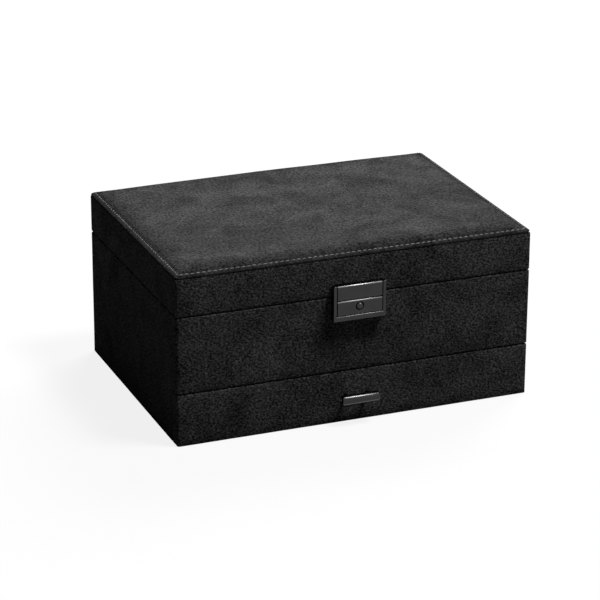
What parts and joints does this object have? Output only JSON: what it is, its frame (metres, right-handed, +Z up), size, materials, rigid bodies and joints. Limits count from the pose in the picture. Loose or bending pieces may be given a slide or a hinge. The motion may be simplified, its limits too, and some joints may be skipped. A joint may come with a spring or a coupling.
{
  "type": "cufflink box with drawer",
  "caption": "Suede-covered box with a padded hinged lid, a sprung push clasp, a tray of cells for cufflinks and a drawer with a bar pull under it.",
  "frame": {"origin": "middle of the box's outline at the underside of its felt, on the surface that it stands on", "axes": "+X to the right of somebody who faces the clasp, +Y to the back with the hinges, +Z up"},
  "size_m": [0.245, 0.1919, 0.1185],
  "materials": {
    "suede": "matte",
    "board": "matte",
    "velvet": "matte",
    "velvet_board": "matte",
    "felt": "matte",
    "foam": "matte",
    "card": "matte",
    "hinge_metal": "satin",
    "screw_metal": "satin",
    "clasp_metal": "satin",
    "spring_metal": "satin",
    "pull_metal": "satin"
  },
  "bodies": {
    "case": {"case_left_wall": "board", "case_right_wall": "board", "case_back_wall": "board", "case_front_rail": "board", "case_floor": "board", "case_base": "board", "case_wrap": "suede", "base_felt": "felt", "liner_left": "velvet", "liner_right": "velvet", "liner_front": "velvet", "liner_back": "velvet", "tray_pad": "velvet", "row_dividers": "velvet_board", "column_dividers": "velvet_board", "cufflink_cushions": "velvet", "drawer_glides": "felt", "drawer_stops": "board", "hinge_case_leaves": "hinge_metal", "hinge_pins": "hinge_metal", "hinge_case_screws": "screw_metal", "clasp_housing": "clasp_metal", "clasp_case_plate": "clasp_metal", "clasp_spring": "spring_metal"},
    "clasp_button": {"clasp_button": "clasp_metal", "clasp_bolt": "clasp_metal"},
    "lid": {"lid_left_rail": "board", "lid_right_rail": "board", "lid_front_rail": "board", "lid_back_rail": "board", "lid_top_board": "board", "lid_card": "card", "lid_foam": "foam", "lid_top_cover": "suede", "lid_wrap": "suede", "lid_lining": "velvet", "hinge_lid_leaves": "hinge_metal", "hinge_lid_screws": "screw_metal", "clasp_keeper": "clasp_metal"},
    "drawer": {"drawer_front": "board", "drawer_front_wrap": "suede", "drawer_left_side": "velvet_board", "drawer_right_side": "velvet_board", "drawer_back": "velvet_board", "drawer_bottom": "board", "drawer_lining": "velvet", "drawer_centre_divider": "velvet_board", "drawer_cross_dividers": "velvet_board", "ring_rolls": "velvet", "pull": "pull_metal", "pull_screws": "screw_metal"}
  },
  "joints": [
    {"name": "lid_hinge", "type": "hinge", "parent": "case", "child": "lid", "pos_m": [0, 0.0902, 0.0875], "axis": [-1, 0, 0], "range_deg": [0, 95]},
    {"name": "clasp_press", "type": "slide", "parent": "case", "child": "clasp_button", "axis": [0, 1, 0], "range_m": [0, 0.0015], "stiffness_N_per_m": 400, "springref_m": -0.003, "deforming": ["clasp_spring"]},
    {"name": "drawer_slide", "type": "slide", "parent": "case", "child": "drawer", "axis": [0, -1, 0], "range_m": [0, 0.112]}
  ]
}
